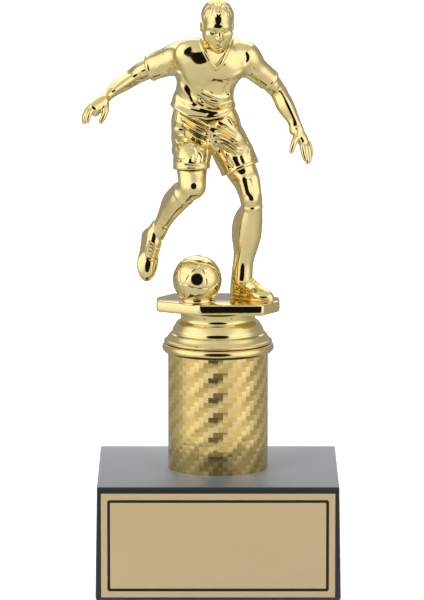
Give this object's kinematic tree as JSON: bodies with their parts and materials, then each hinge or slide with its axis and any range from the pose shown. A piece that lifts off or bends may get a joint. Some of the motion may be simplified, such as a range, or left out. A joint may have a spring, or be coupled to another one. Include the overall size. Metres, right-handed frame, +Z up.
{
  "type": "figure trophy",
  "caption": "Gold footballer kicking a ball on an eight-sided platform, above a round foil-wrapped column and a black block base with a blank gold plate.",
  "frame": {"origin": "centre of the base's underside, on the felt", "axes": "+Z up along the column and the tie rod; -Y towards the front, where the engraving plate is; +X to the right seen from the front"},
  "size_m": [0.097, 0.0831, 0.223],
  "materials": {
    "black_gloss": "piano-black high gloss moulding",
    "cast_weight": "rough cast filler",
    "felt": "short-pile felt",
    "adhesive": "double-sided foam adhesive",
    "plate_metal": "satin gold lacquer with a black printed border",
    "inner_plastic": "plain moulded plastic",
    "gold_foil": "gold film embossed with a woven-brick pattern",
    "warm_plated_plastic": "vacuum-plated mirror, orange-gold lacquer",
    "plated_plastic": "vacuum-plated mirror, pale gold lacquer",
    "zinc_steel": "zinc plated"
  },
  "bodies": {
    "stand": {"base_shell": "black_gloss", "base_weight": "cast_weight", "base_felt": "felt", "plate_adhesive": "adhesive", "engraving_plate": "plate_metal", "column_plug": "inner_plastic", "column_tube": "inner_plastic", "column_foil": "gold_foil", "column_collar": "warm_plated_plastic", "riser": "plated_plastic", "flat_washer": "zinc_steel", "lock_washer": "zinc_steel"},
    "figure": {"platform": "plated_plastic", "captive_nut": "zinc_steel", "player": "plated_plastic", "ball": "plated_plastic", "tie_rod": "zinc_steel", "clamp_nut": "zinc_steel"}
  },
  "joints": [
    {"name": "figure_swivel", "type": "hinge", "parent": "stand", "child": "figure", "pos_m": [0, 0, 0.1], "axis": [0, 0, 1], "continuous": true}
  ]
}
